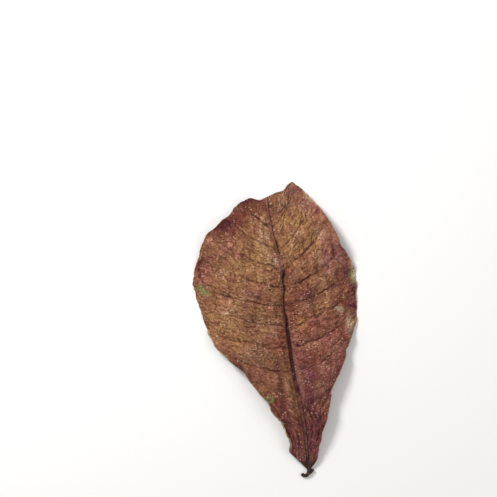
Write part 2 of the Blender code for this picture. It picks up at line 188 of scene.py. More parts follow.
# Coloured zones of the upper face: x, y, reach across, reach along, strength. Of each colour, the
# strongest counts.
ZONES = {
    "gold": (
        (-16, 168, 12, 12, 0.7), (-27, 153, 14, 13, 0.8), (-12, 156, 9, 8, 0.9),
        (-16, 143, 5, 5, 0.7), (-43, 118, 12, 17, 0.9), (-36, 97, 10, 10, 0.9),
        (-31, 136, 11, 8, 0.7), (-50, 130, 6, 6, 0.6), (20, 176, 11, 11, 0.85),
        (11, 160, 9, 9, 0.9), (29, 163, 8, 9, 0.8), (6, 155, 4, 6, 0.9), (8, 178, 5, 6, 0.9),
        (25, 116, 10, 9, 0.6), (30, 135, 8, 9, 0.4), (9, 106, 5, 6, 0.5), (-16, 187, 4, 3, 0.3),
        (-3.2, 48, 1.9, 18, 0.8), (-7, 60, 4, 20, 0.5), (-24, 64, 8, 8, 0.4),
    ),
    "rose": (
        (-55, 150, 7, 13, 0.9), (37, 150, 9, 13, 0.8), (-11, 92, 5, 7, 0.7), (34, 186, 9, 9, 0.9),
        (5, 84, 6, 11, 0.9), (-23, 73, 8, 7, 0.5), (30, 88, 17, 22, 0.9), (23, 66, 12, 14, 0.9),
        (-34, 166, 10, 7, 0.6), (-20, 132, 10, 7, 0.3), (46, 140, 7, 12, 0.7),
        (-14, 42, 9, 12, 0.7), (-44, 122, 6, 5, 0.4),
    ),
    "umber": (
        (-22, 110, 13, 9, 0.8), (-20, 84, 14, 10, 0.8), (-34, 79, 10, 8, 0.8),
        (-27, 128, 9, 5, 0.1), (9, 140, 6, 6, 0.9), (-10, 190, 17, 6, 0.9), (-17, 165, 4, 4, 0.6),
        (-24, 190, 7, 4, 0.9), (16, 190, 6, 5, 0.9), (-24, 181, 7, 5, 0.6), (-6, 118, 5, 9, 0.7),
    ),
    "rust": (
        (-6, 94, 4, 14, 1), (-12, 38, 9, 20, 0.9), (5, 116, 5, 12, 0.8), (14, 129, 10, 6, 0.7),
        (16, 97, 9, 8, 0.6), (14, 76, 8, 9, 0.6), (44, 128, 5, 8, 0.7), (29, 132, 7, 7, 0.4),
        (33, 106, 6, 5, 0.3), (16, 105, 5, 5, 0.9), (24, 82, 5, 5, 0.6), (23, 142, 4, 4, 0.3),
        (8, 142, 4, 4, 0.8), (33, 179, 5, 5, 0.5), (24, 191, 5, 4, 0.5), (-19, 189, 9, 4, 0.9),
        (-25, 183, 7, 7, 1.1), (-34, 180, 7, 5, 1.2), (-8, 191, 6, 4, 0.9), (-33, 144, 4, 4, 0.7),
        (-16, 177, 4, 4, 0.5), (7, 118, 4, 5, 0.8), (-56, 153, 3, 6, 1), (37, 94, 8, 5, 0.8),
        (-33, 71, 3, 8, 1), (-41, 83, 4, 6, 1), (-32, 95, 5, 4, 0.5), (42, 116, 7, 8, 0.8),
        (17, 152, 5, 5, 0.5),
    ),
    "wine": (
        (-33.5, 182, 7, 5.5, 1), (-12, 196, 9, 3, 0.7), (-18, 195, 4, 3, 1.2),
        (-39, 178, 5, 4, 0.9), (25, 199, 12, 3.5, 0.6), (16, 123, 8, 5, 0.75), (48, 110, 5, 6, 1.1),
        (51, 119, 4, 13, 0.8), (47, 136, 2.5, 7, 0.6), (30, 137, 2.4, 2.4, 0.5),
        (37, 128, 3.2, 3.2, 0.6), (47, 158, 3, 9, 0.6), (5.3, 89.9, 1.2, 1.2, 1.1),
        (7, 46, 5, 14, 0.65), (12, 34, 5, 10, 0.65), (-40, 131, 3, 2.6, 0.8),
        (-24, 190, 5, 3, 0.5), (-18, 128, 5, 2.4, 0.6),
    ),
    "pale": (
        (-40, 119, 5, 5, 1), (-8, 106, 3.5, 4, 0.6), (-7, 172, 4, 12, 1), (8, 190, 4, 4, 0.6),
        (32, 165, 4, 5, 1), (17, 167, 4, 4, 0.6), (32, 82, 4, 4, 0.4), (17, 58, 4, 5, 0.4),
        (-31, 90, 6, 6, 0.35), (13, 162, 4.5, 3, 0.75), (-1, 153, 7, 5, 0.9), (3, 172, 3, 8, 0.4),
        (31, 156, 4, 8, 0.35), (-28, 129, 7, 3.5, 0.3), (-38.8, 147.8, 2.4, 1.8, 1),
        (30, 193, 8, 5, 0.5), (24, 72, 5, 5, 0.5), (-6, 60, 3, 15, 0.45),
    ),
    "berry": (
        (10, 66, 8, 16, 0.95), (8, 44, 8, 18, 1.15), (23, 52, 7, 12, 0.9), (30, 64, 6, 10, 0.7),
        (37, 80, 5, 14, 0.6), (8, 22, 12, 26, 1), (-8, 14, 10, 24, 0.9), (-13, 36, 6, 12, 0.6),
        (-7, 42, 4, 12, 0.4),
    ),
    "lilac": (
        (18.5, 199.7, 5, 3.5, 0.9), (27.8, 188.8, 4, 4, 0.8),
    ),
    "green": (
        (-58.5, 138.6, 3.4, 2.6, 1), (-55, 136.6, 3.2, 2.2, 1), (53.4, 131, 2.4, 6, 0.9),
    ),
    "cream": (
        (39.3, 109.9, 2.4, 2.6, 0.9), (45.5, 97, 3.6, 5.5, 0.75), (52.6, 135, 2.2, 6, 1),
    ),
}
# Painted light and shade: lighter patches in the same form, and darker ones with a strength below 0.
# These add up.
PAINTED_LIGHT_AND_SHADE_ZONES = (
    (32, 142, 4.5, 6, 1.1), (31, 130, 6, 5, 0.75), (24, 119, 4, 4, 0.35), (-4, 149.5, 4, 4, 0.7),
    (-22, 149, 9, 8, 0.25), (-9, 160, 6, 8, 0.2), (-8, 179, 5, 5, 0.3), (-40, 118, 4, 4, 0.35),
    (-14, 105, 8, 5, 0.3), (33, 160, 4, 9, 0.3), (16, 142, 4, 4, 0.25), (0, 46, 3, 7, 0.3),
    (8, 12, 4, 8, 0.45), (-15, 191, 12, 4, -0.25), (-24, 178, 5, 5, -0.22), (24, 142, 4, 4, -0.3),
    (4, 118, 8, 5, -0.22), (-40, 82, 4, 5, -0.3), (-32, 70, 3, 6, -0.3), (-9, 70, 6, 5, -0.3),
    (-16, 166, 4, 4, -0.15), (2, 190, 4, 4, -0.25), (7, 40, 6, 9, -0.25),
)
GREEN_RING = (-20.4, 54, 2, 1.2)
ZONE_WARP = (8, 3.6)
FULL_WARP_SIZE = 8
# Stretches of margin with a pale edge, partly the edge's own paler colour and partly a painted
# highlight where the curled edge catches the light: from y, to y, width and strength, left and then
# right.
LEFT_PALE_LIT_EDGES = ((13, 42, 4.2, 1), (36, 112, 1.3, 0.6))
RIGHT_PALE_LIT_EDGES = ((50, 97, 1.2, 0.8), (180, 199, 1.2, 0.4), (97, 150, 0.8, 0.3))

# Colours as they are seen, red, green and blue from 0 to 255.
RUSSET = (149, 100, 71)
GOLD = (163, 119, 74)
ROSE = (148, 86, 80)
RUST = (129, 66, 49)
UMBER = (115, 79, 55)
WINE = (90, 33, 46)
BERRY = (112, 52, 61)
LILAC = (148, 99, 94)
PALE = (190, 152, 122)
GREEN = (124, 138, 80)
CREAM = (186, 174, 144)
# Pale pink for painted glints.
GLINT_FLECK = (222, 184, 160)
STROKE = (82, 42, 26)
VEIN_BROWN = (86, 42, 25)
GROOVE_BROWN = (54, 10, 8)
GROOVE_WINE = (62, 26, 30)
# Brown for painted shade beside the midrib's groove, and for grain and strokes on the lower face.
FOLD_SHADE_AND_GRAIN_BROWN = (96, 52, 34)
# Red-brown for painted shade in the long creases.
CREASE_SHADE_RED = (96, 50, 40)
# Tan for the painted highlight along the ridge beside the midrib.
RIDGE_HIGHLIGHT_TAN = (172, 120, 86)
FOOT_OLIVE = (100, 74, 69)
FOOT_DARK = (44, 36, 30)
# Pale edge: partly the edge's own colour, partly painted highlight.
PALE_LIT_EDGE = (206, 180, 148)
UNDERSIDE_TAN = (132, 94, 68)
# Dark purple for painted shade where the margin rolls in.
ROLLED_SHADE_PURPLE = (52, 28, 32)
RIB_TAN = (150, 110, 78)
STALK_BLACK = (36, 32, 28)
STALK_BROWN = (70, 54, 40)
FLOOR_WHITE = (244, 243, 241)

# Camera: straight above the photo's middle, turned so that the leaf leans as it does there.
PHOTO_PIXELS = 497
MM_PER_PIXEL = 0.72
LEAF_LEAN = math.radians(8.53)
VIEW_CENTRE = (-19.4, 162.7)
LENS = 100
SENSOR = 36

# Lights, in metres from the middle of the leaf: place, size of the square, power in watts.
KEY_LIGHT = ((-0.42, 0.62, 0.62), 0.26, 8.3)
FILL_LIGHT = ((0.70, -0.25, 0.80), 0.70, 2.4)
WORLD_STRENGTH = 0.45
FLOOR_SIZE = 6


def smooth(points, place):
    """Catmull-Rom curve through a list of points, read at a fractional index."""
    table = np.asarray(points, float)
    last = len(table) - 1
    place = np.clip(np.asarray(place, float), 0, last)
    start = np.minimum(place.astype(int), last - 1)
    t = (place - start)[..., None]
    before, here = table[np.maximum(start - 1, 0)], table[start]
    there, after = table[start + 1], table[np.minimum(start + 2, last)]
    bend = 2 * before - 5 * here + 4 * there - after
    twist = 3 * here - before - 3 * there + after
    return 0.5 * (2 * here + (there - before) * t + bend * t**2 + twist * t**3)


def noise_at(x, y, scale, seed):
    """Smooth noise over the blade, between about -1 and 1, with features of the given size."""
    values = [
        2 * noise.noise(Vector((a / scale, b / scale, seed)))
        for a, b in zip(np.ravel(x), np.ravel(y))
    ]
    return np.reshape(values, np.shape(x))


def fade(value, start, end):
    """0 before start, 1 after end, smooth between."""
    t = np.clip((value - start) / (end - start), 0, 1)
    return t * t * (3 - 2 * t)


def bump(value, width):
    """1 at 0, falling away over about the given width."""
    return np.exp(-((value / width) ** 2))


def ridged_at(x, y, seed):
    """Folded noise: 0 along winding lines about one unit apart, and up to about 1 between them."""
    return np.abs(noise_at(x, y, 1, seed))


def midrib_point(height):
    """Points of MIDRIB at these heights above the foot of the blade."""
    return smooth(MIDRIB, np.interp(height, [p[1] for p in MIDRIB], range(len(MIDRIB))))


def row_ends(half, order):
    """For rows given in vein order (0 foot, 1 first vein, ...): midrib points and margin points."""
    orders = range(len(VEIN_ROOTS) + 2)
    heights = np.interp(order, orders, (0, *VEIN_ROOTS, MIDRIB[-1][1]))
    places = np.interp(order, orders, (0, *half.vein_ends, len(half.margin) - 1))
    return midrib_point(heights), smooth(half.margin, places)


def fine_orders():
    """Rows of the fine sheet in vein order, closer together beside the side veins."""
    heights = (0, *VEIN_ROOTS, MIDRIB[-1][1])
    orders = []
    for vein, (low, high) in enumerate(zip(heights, heights[1:])):
        count = round(ROWS_PER_MM * max(high - low, LEAST_SPAN))
        step = np.arange(count) / count
        orders.append(vein + step - CLOSER_AT_VEINS * np.sin(TURN * step) / TURN)
    orders = np.concatenate(orders)
    orders = orders[orders < len(heights) - 2 + LAST_ROW]
    return orders[: len(orders) - 1 + len(orders) % 2]


def fine_shares():
    """Columns of the fine sheet from midrib to margin, closer together at both."""
    step = np.linspace(0, 1, FINE_COLUMNS + 1)
    return step - CLOSER_AT_ENDS * np.sin(TURN * step) / TURN


def half_form(half, order, share):
    """Plain form of one half of the blade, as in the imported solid, with small nicks in its margin.

    Adds to half: the points, the unrolled plan and noise over it, how far each point is from the
    midrib and from the margin, the width of the half there, its place among the veins, and flat
    coordinates that run with the veins (flow) and down to the foot (fan).
    """
    root, end = row_ends(half, order)
    share = share[None, :]
    reach = end[:, None, :2] - root[:, None, :2]
    width = np.maximum(np.linalg.norm(reach, axis=2), 0.01)
    along = reach / width[..., None]
    nicks = sum(h * noise_at(end[:, 0], end[:, 1], s, half.seed + 20) for s, h in NICKS)
    if half.side < 0:
        # The stretch that rolls in near the foot has hardly any nicks.
        nicks *= 1 - 0.8 * bump(end[:, 1] - 30, 18)
    width += nicks[:, None] * fade(width, NARROWEST_RELIEF, FULL_RELIEF_WIDTH)

    curl = np.radians(end[:, None, 3])
    curl = np.where(np.abs(curl) < 0.01, 0.01, curl)
    roll = np.minimum(ROLL_LENGTH, ROLL_SHARE * width)
    overhang = np.where(np.abs(curl) < math.pi / 2, np.sin(curl) / curl, 1 / np.abs(curl))
    flat = width - roll * overhang
    path = share * (flat + roll)
    turned = curl * np.clip((path - flat) / roll, 0, 1)
    out = np.minimum(path, flat) + roll / curl * np.sin(turned)
    lift = roll / curl * (1 - np.cos(turned))

    t = np.clip(out / width, 0, 1)
    full = fade(width, 0, FULL_BLISTER_WIDTH)
    bow = VEIN_BOW * 4 * t * (1 - t) * full
    x = root[:, None, 0] + along[..., 0] * out
    y = root[:, None, 1] + along[..., 1] * out - bow
    z = (1 - t) * root[:, None, 2] + t * end[:, None, 2] + lift
    z += HALF_BLADE_RISE * np.sin(math.pi * t**CREST_PLACE) * full

    half.points = np.stack((x, y, z), axis=2)
    half.x = root[:, None, 0] + along[..., 0] * path
    half.y = root[:, None, 1] + along[..., 1] * path - bow
    half.path, half.width, half.order = path, width, order[:, None] + 0 * path
    half.share = share + 0 * path
    half.plan = (half.x, half.y)
    half.noise = lambda scale, shift: noise_at(half.x, half.y, scale, half.seed + shift)
    half.flow = (half.side * path, root[:, None, 1] + 0 * path)
    half.fan = (half.side * FAN_UNIT * half.share, half.y)
    half.to_margin = flat + roll - path
    half.turned = np.degrees(np.abs(turned))


def solid_relief(half):
    """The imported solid's relief: blisters between the veins, pleats at the foot, crumples, crease."""
    order, path, width, seed = half.order, half.path, half.width, half.seed
    x, y = half.points[..., 0], half.points[..., 1]
    t = path / width
    draw = noise_at(np.floor(order) * 5.3, seed + 0 * t, 1.7, seed)
    blister = np.abs(np.sin(math.pi * half.wandered)) ** BLISTER_EDGE
    cross = np.cos(TURN * (path / CROSS_VEIN_SPACING + draw))
    relief = BLISTER_HEIGHT * ((1 + draw) * blister - VEINS_BELOW_MEAN)
    relief += CROSS_VEIN_DEPTH * cross * blister
    relief = relief * fade(width, 0, FULL_BLISTER_WIDTH) * (1 - 0.6 * fade(t, 0.7, 1))
    near_foot = bump(y, PLEAT_REACH) * fade(width, 0, PLEAT_FULL_WIDTH)
    relief += PLEAT_HEIGHT * np.sin(TURN * PLEAT_COUNT * t) * (1 - t) * near_foot
    for scale, height in CRUMPLES:
        relief += height * noise_at(x, y, scale, seed + scale)
    relief *= fade(path, 0, CLEAR_OF_MIDRIB)
    scale, height = MARGIN_CRINKLE
    relief += height * noise_at(x, y, scale, seed - scale) * fade(t, 0.8, 1)
    shallower = 1 - (1 - UPPER_CREASE) * fade(half.y, UPPER_LEAF, UPPER_LEAF + 9)
    return relief - CREASE_DEPTH * shallower * bump(path, CREASE_WIDTH)


def vein_fields(half):
    """Adds to half how close each point is to a side vein's wandering line, and its strength."""
    wander = sum(h * half.noise(s, 40) for s, h in VEIN_WANDER)
    half.wandered = half.order + wander * fade(half.path, 0, CLEAR_OF_MIDRIB)
    row_step = np.gradient(half.points, half.order[:, 0], axis=0)
    spacing = np.linalg.norm(row_step, axis=2)
    half.vein_off = np.abs(half.wandered - np.round(half.wandered)) * spacing
    is_vein = (np.round(half.wandered) >= 1) & (np.round(half.wandered) <= len(VEIN_ROOTS))
    half.is_vein = np.where(is_vein, 1, 0)
    breaks = fade(half.noise(11, 55), -0.6, 0.5)
    strength = half.is_vein * (0.45 + 0.55 * breaks) * (1 - 0.75 * fade(half.share, 0.55, 1))
    # Near the foot the pleats hide the veins.
    strength *= fade(half.wandered, 4.7, 6.2)
    half.vein_strength = strength * fade(half.width, 10, 30)
    half.vein = bump(half.vein_off, VEIN_LINE_WIDTH) * half.vein_strength


def fine_relief(half):
    """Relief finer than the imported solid's. Adds to half the closeness to each kind of fold."""
    seed = half.seed
    u, v = half.flow
    warp_u, warp_v = half.noise(6, 61), half.noise(6, 67)
    long, wide, high = FOLDS
    fold = ridged_at(u / long + 0.35 * warp_u, v / wide + 0.35 * warp_v, seed + 5)
    relief = high * (fold**0.8 - 0.35)
    half.fold = 1 - fade(fold, 0, 0.16)

    patchy = 0.35 + 0.65 * fade(half.noise(14, 69), -0.5, 0.4)
    fine_u, fine_v = half.noise(3.1, 71), half.noise(3.1, 73)
    long, wide, high = WRINKLES
    fold = ridged_at(u / long + 0.4 * fine_u, v / wide + 0.4 * fine_v, seed + 9)
    relief += high * patchy * (fold**0.8 - 0.35)
    half.wrinkle = (1 - fade(fold, 0, 0.22)) * patchy
    for scale, height in PUCKER:
        relief += height * half.noise(scale, 80 + scale)
    place, wide, high = VEIN_SHOULDER
    relief += high * bump(half.vein_off - place, wide) * half.vein_strength
    relief -= VEIN_LINE_DEPTH * half.vein
    half.fine = relief
    return relief * fade(half.path, 0.6, 4)


def creases(half):
    """Long soft folds. Adds to half how dark each point is painted from them, as painted shade in the
    fold, and a strip beside one.
    """
    points, wide, depth, dark = MARGIN_CREASE if half.side > 0 else FOOT_CREASE
    across, along = zip(*points)
    wander = 0.6 * half.noise(6, 31)
    off = half.x - np.interp(half.y, along, across) + wander
    reach = fade(half.y, along[0] - 3, along[0] + 4)
    reach *= 1 - fade(half.y, along[-1] - 4, along[-1] + 3)
    half.crease = dark * bump(off, wide) * reach
    half.strip = bump(off - 2.4, 1.6) * reach * (half.side > 0)
    return -depth * bump(off, wide) * reach


def midrib_relief(half):
    """The dark groove over the midrib, the ridge beside it lower down, and strands at the foot."""
    across = half.side * half.path
    y = half.y
    lower = 1 - fade(y, LOWER_LEAF, 100)
    heights, *columns = zip(*GROOVE)
    shift, wide, depth, dark = (np.interp(y, heights, column) for column in columns)
    wander = 0.35 * noise_at(0 * y, y, 7, 5)
    off = across - shift - wander
    upper = fade(y, UPPER_LEAF, UPPER_LEAF + 6)
    breaks = fade(noise_at(0 * y, y, 4, 15), -0.5, 0.1)
    half.groove = bump(off, wide) * dark * (1 - (0.35 * lower + 0.3 * upper) * (1 - breaks))
    # Painted shade beside the groove.
    half.beside = bump(off + 0.2, 2.2 * wide + 0.3) * dark * (1 - 0.85 * upper)
    # A shaded strip on the left of the groove, in the middle of the leaf.
    middle = fade(y, 82, 95) * (1 - fade(y, 128, 138))
    half.beside = np.maximum(half.beside, 0.75 * bump(off + 1.9, 1.7) * middle)
    half.lilac = bump(off - 2.4, 1.7) * lower * fade(y, 40, 56)
    half.lilac = np.maximum(half.lilac, 0.9 * bump(off + 1.5, 1.2) * upper)
    half.ridge = bump(across + 1.9 - wander, RIDGE_WIDTH) * lower * fade(y, 4, 20)
    strands = np.cos(TURN * (across + wander) / STRAND_SPACING) * bump(across, 4)
    half.strands = strands * bump(y, STRAND_REACH)
    return RIDGE_HEIGHT * half.ridge - depth * half.groove + STRAND_HEIGHT * half.strands


def foot_pleats(half):
    """Fine pleats that run along the leaf and gather on its foot."""
    turns = FAN_LINES * half.share + 0.7 * half.noise(15, 90) + 0.2 * half.noise(5, 93)
    reach = bump(half.y - 15, 52) * fade(half.path, 1.5, 6)
    half.pleat = np.sin(TURN * turns) * reach
    return FAN_HEIGHT * half.pleat * fade(half.width, 4, 20)


def patches(half, spots):
    """How strongly each point lies in each of several soft patches, the wide ones the least even."""
    for cx, cy, across, along, strength in spots:
        uneven = min(1, min(across, along) / FULL_WARP_SIZE)
        x, y = half.x + uneven * half.warp[0], half.y + uneven * half.warp[1]
        yield strength * np.exp(-(((x - cx) / across) ** 2) - ((y - cy) / along) ** 2)


def zone(half, spots):
    """How strongly each point lies in any of the patches."""
    return np.maximum.reduce([0 * half.x, *patches(half, spots)])


def green_ring(half):
    """How strongly each point lies on the small green ring."""
    x, y, radius, wide = GREEN_RING
    return 0.9 * bump(np.hypot(half.x - x, half.y - y) - radius, wide)


def pale_and_lit_edge(half):
    """How strongly the edge shows pale: partly its own paler colour where it dried thin, partly a
    painted highlight where it catches the light.
    """
    shown = 0
    for start, end, wide, strength in LEFT_PALE_LIT_EDGES if half.side < 0 else RIGHT_PALE_LIT_EDGES:
        stretch = fade(half.y, start, start + 6) * (1 - fade(half.y, end - 6, end))
        near = 1 - fade(half.to_margin, 0.6 * wide, wide)
        shown = np.maximum(shown, strength * stretch * near)
    return shown


def half_fields(half):
    """Named fields of one half of the blade, nearly all from 0 to 1, for its material."""
    scale, reach = ZONE_WARP
    half.warp = [reach * half.noise(scale, 100 + k) for k in (0, 5)]
    foot = 1 - fade(half.y, 1, 9)
    if half.side < 0:
        foot = np.maximum(foot, bump(half.to_margin, 1.9) * (1 - fade(half.y, 8, 13)))
    fields = {name: zone(half, spots) for name, spots in ZONES.items()}
    for name in ("vein", "fold", "wrinkle", "groove", "beside", "ridge", "crease"):
        fields[name] = getattr(half, name)
    # Dark pleat troughs: partly their own wine colour, partly painted shade.
    shaded_dark_pleats = (0.6 if half.side > 0 else 0.4) * fade(half.pleat, -0.2, -0.9)
    return fields | {
        "wine": np.maximum(fields["wine"], shaded_dark_pleats),
        "green": np.maximum(fields["green"], green_ring(half)),
        "lilac": np.maximum.reduce([fields["lilac"], half.lilac, 0.8 * half.strip]),
        # Painted light and shade: the sum of the lighter and darker patches.
        "light": sum(patches(half, PAINTED_LIGHT_AND_SHADE_ZONES)),
        # Fine relief height, used to paint light on the crests and shade in the hollows.
        "height": np.clip(0.5 + 0.7 * half.fine, 0, 1),
        "lower": 1 - fade(half.y, LOWER_LEAF, 110),
        "edge": pale_and_lit_edge(half),
        "rim": 1 - fade(half.to_margin, 0.3, 0.9),
        "foot": foot,
        "strand": 0.5 + 0.5 * half.strands,
        "near_midrib": bump(half.path, 1.9) * bump(half.y, 34),
        "rolled": fade(half.turned, 30, 80),
        "rib": np.maximum(half.rib, bump(half.path, 2.2)),
        "pleat": 0.5 + 0.5 * half.pleat,
    }


def rib_depths(half):
    """How far the ribs and the net stand out below the sheet."""
    t = half.share
    length = MIDRIB[-1][1]
    radius = np.interp(half.y, (0, length), (MIDRIB_RADIUS_AT_FOOT, MIDRIB_RADIUS_AT_TIP))
    across = half.path / (MIDRIB_SPREAD * radius)
    midrib = (2 * radius - 0.3) * np.sqrt(np.clip(1 - across**2, 0, 1))
    height = RIB_HEIGHT[0] + (RIB_HEIGHT[1] - RIB_HEIGHT[0]) * t
    wide = RIB_WIDTH[0] + (RIB_WIDTH[1] - RIB_WIDTH[0]) * t
    grown = fade(half.width, 4, 22)
    half.rib = bump(half.vein_off, wide) * half.is_vein * grown
    ribs = height * half.rib * (1 - fade(t, 0.93, 1)) + NET_HEIGHT * half.fold * grown
    return np.maximum(midrib, ribs)


def both_sides(left, right):
    """Rows that run from the left margin over the midrib to the right margin."""
    return np.concatenate((left[:, :0:-1], right), axis=1)


def form_normals(form):
    """Upward unit normals of the plain form, nearly upright where its cells are very small."""
    up_the_leaf, across = np.gradient(form, axis=(0, 1))
    normal = np.cross(across, up_the_leaf) + (0, 0, SMALL_CELL * 0.1)
    return normal / np.linalg.norm(normal, axis=2, keepdims=True)


def blade_shape():
    """Upper and lower surfaces of the fine blade in millimetres, its flat coordinates and fields."""
    order, share = fine_orders(), fine_shares()
    reliefs, depths, fields = [], [], []
    for half in (LEFT, RIGHT):
        half_form(half, order, share)
        vein_fields(half)
        relief = solid_relief(half) + fine_relief(half) + foot_pleats(half) + creases(half)
        relief *= fade(half.width, NARROWEST_RELIEF, FULL_RELIEF_WIDTH)
        relief += midrib_relief(half) * fade(half.width, NARROWEST_RELIEF, 8)
        reliefs.append(relief)
        depths.append(rib_depths(half))
        fields.append(half_fields(half))
    form = both_sides(LEFT.points, RIGHT.points)
    normal = form_normals(form)
    solid_top = form + normal * both_sides(*reliefs)[..., None]
    solid_top[..., 2] = np.maximum(solid_top[..., 2], SOLID_THICKNESS - TABLE_BITE)
    upper = solid_top - normal * (SOLID_THICKNESS - THICKNESS)
    lower = upper - normal * (THICKNESS + both_sides(*depths))[..., None]
    upper[..., 2] = np.maximum(upper[..., 2], THICKNESS)
    lower[..., 2] = np.maximum(lower[..., 2], 0)
    named = {name: both_sides(fields[0][name], fields[1][name]) for name in fields[0]}
    vectors = {}
    for name in ("plan", "flow", "fan"):
        pairs = zip(getattr(LEFT, name), getattr(RIGHT, name))
        vectors[name] = np.stack([both_sides(*pair) for pair in pairs], axis=2)
    return SimpleNamespace(upper=upper, lower=lower, normal=normal, fields=named, vectors=vectors)


def to_frame(points):
    """Points in millimetres from the foot of the blade, in metres in the leaf's own frame."""
    return (np.asarray(points, float) - (*FRAME_CENTRE, 0)) * MM


def add_object(name, data):
    made = bpy.data.objects.new(name, data)
    bpy.context.scene.collection.objects.link(made)
    return made


def border(rows, columns):
    """Grid indices once round the sheet, anticlockwise seen from above, from the left foot."""
    index = np.arange(rows * columns).reshape(rows, columns)
    return np.concatenate((index[0, :-1], index[:-1, -1], index[-1, :0:-1], index[:0:-1, 0]))


def quads(index):
    """The four-sided faces of a grid of vertex numbers."""
    corners = (index[:-1, :-1], index[:-1, 1:], index[1:, 1:], index[1:, :-1])
    return np.stack([c.ravel() for c in corners], axis=1).tolist()


def coarse_quads(rows, columns):
    """Faces over every second row and column. Those at the border keep its vertices in between."""
    around = ((0, 0), (0, 1), (0, 2), (1, 2), (2, 2), (2, 1), (2, 0), (1, 0))
    faces = []
    for r in range(0, rows - 1, 2):
        for c in range(0, columns - 1, 2):
            face = [
                (r + up) * columns + c + over
                for up, over in around
                if up % 2 == over % 2 or r + up in (0, rows - 1) or c + over in (0, columns - 1)
            ]
            faces.append(face)
    return faces


def outward(points, normals):
    """Directions away from a closed loop of points that runs anticlockwise about the normals."""
    ahead = np.roll(points, -1, axis=0) - np.roll(points, 1, axis=0)
    out = np.cross(ahead, normals)
    return out / np.maximum(np.linalg.norm(out, axis=1, keepdims=True), 1e-9)


def blade_layout(shape):
    """Vertices and faces of the closed blade: upper face, lower face and a rounded edge."""
    rows, columns = shape.upper.shape[:2]
    ring = border(rows, columns)
    upper, lower = shape.upper.reshape(-1, 3), shape.lower.reshape(-1, 3)
    middle = (upper[ring] + lower[ring]) / 2
    rim = middle + RIM_ROUNDING * outward(middle, shape.normal.reshape(-1, 3)[ring])
    rim[:, 2] = np.maximum(rim[:, 2], 0.02)

    below = coarse_quads(rows, columns)
    kept = np.unique(np.concatenate(below))
    place = np.full(rows * columns, -1)
    place[kept] = len(upper) + np.arange(len(kept))
    rim_place = len(upper) + len(kept) + np.arange(len(ring))
    after, rim_after = np.roll(ring, -1), np.roll(rim_place, -1)
    faces = {
        "upper": quads(np.arange(rows * columns).reshape(rows, columns)),
        "upper_rim": np.stack((ring, rim_place, rim_after, after), axis=1).tolist(),
        "lower": [[int(place[v]) for v in face[::-1]] for face in below],
        "lower_rim": np.stack((rim_place, place[ring], place[after], rim_after), axis=1).tolist(),
    }
    grid = np.concatenate((np.arange(rows * columns), kept, ring))
    return np.concatenate((upper, lower[kept], rim)), faces, grid


def bake_map(mesh, shape, faces, grid):
    """Flat map of the unrolled blade: upper face on the left of the square, lower on the right."""
    plan = shape.vectors["plan"].reshape(-1, 2)
    ring = border(*shape.upper.shape[:2])
    flat = np.concatenate((plan[ring], np.zeros((len(ring), 1))), axis=1)
    out = outward(flat, np.tile((0, 0, 1), (len(ring), 1)))[:, :2]
    placed = plan[grid]
    placed[-len(ring) :] = plan[ring] + MAP_RIM * out
    low, high = placed.min(axis=0), placed.max(axis=0)
    inside = (placed - low) / (high - low) * (1 - 2 * MAP_MARGIN) + MAP_MARGIN
    upper_map = inside * (0.5, 1)
    lower_map = (1, 0) + inside * (-0.5, 1)
    uvs = []
    for name, group in faces.items():
        chosen = upper_map if name.startswith("upper") else lower_map
        uvs.append(chosen[np.concatenate(group)])
    layer = mesh.uv_layers.new(name="OFBake")
    layer.data.foreach_set("uv", np.concatenate(uvs).astype(np.float32).ravel())


def make_blade(materials):
    shape = blade_shape()
    vertices, faces, grid = blade_layout(shape)
    mesh = bpy.data.meshes.new("leaf_blade")
    mesh.from_pydata(to_frame(vertices).tolist(), [], sum(faces.values(), []))
    for material in materials:
        mesh.materials.append(material)
    slots = [0 if name.startswith("upper") else 1 for name, group in faces.items() for _ in group]
    mesh.polygons.foreach_set("material_index", slots)
    for name, values in shape.fields.items():
        layer = mesh.attributes.new(name, "FLOAT", "POINT")
        layer.data.foreach_set("value", values.ravel()[grid].astype(np.float32))
    for name in ("flow", "fan"):
        values = shape.vectors[name].reshape(-1, 2)[grid]
        spread = np.concatenate((values, np.zeros((len(values), 1))), axis=1)
        layer = mesh.attributes.new(name, "FLOAT_VECTOR", "POINT")
        layer.data.foreach_set("vector", spread.astype(np.float32).ravel())
    bake_map(mesh, shape, faces, grid)
    mesh.validate()
    mesh.shade_smooth()
    return add_object("leaf_blade", mesh)


def ridged_tube(points, rings, turn):
    """Vertices and faces of a closed tube along points with radii, with grooves that wind a little."""
    path = smooth(points, np.linspace(0, len(points) - 1, rings))
    centre, radius = path[:, :3], path[:, 3]
    ahead = np.gradient(centre, axis=0)
    ahead /= np.linalg.norm(ahead, axis=1, keepdims=True)
    side = np.cross(ahead, (0, 0, 1))
    side /= np.linalg.norm(side, axis=1, keepdims=True)
    above = np.cross(side, ahead)
    angle = np.linspace(0, TURN, STALK_SIDES, endpoint=False)[None, :]
    place = np.arange(rings)[:, None] / rings
    grooves = np.cos(STALK_GROOVES * (angle + turn * place))
    reach = radius[:, None] * (1 + STALK_GROOVE_DEPTH * grooves)
    reach *= np.where((place > 0) & (place < 1 - 1.5 / rings), 1, 0.7)
    around = np.cos(angle)[..., None] * side[:, None] + np.sin(angle)[..., None] * above[:, None]
    vertices = (centre[:, None] + reach[..., None] * around).reshape(-1, 3)
    index = np.arange(rings * STALK_SIDES).reshape(rings, STALK_SIDES)
    faces = quads(np.concatenate((index, index[:, :1]), axis=1))
    return vertices, [*faces, index[0, ::-1].tolist(), index[-1].tolist()]


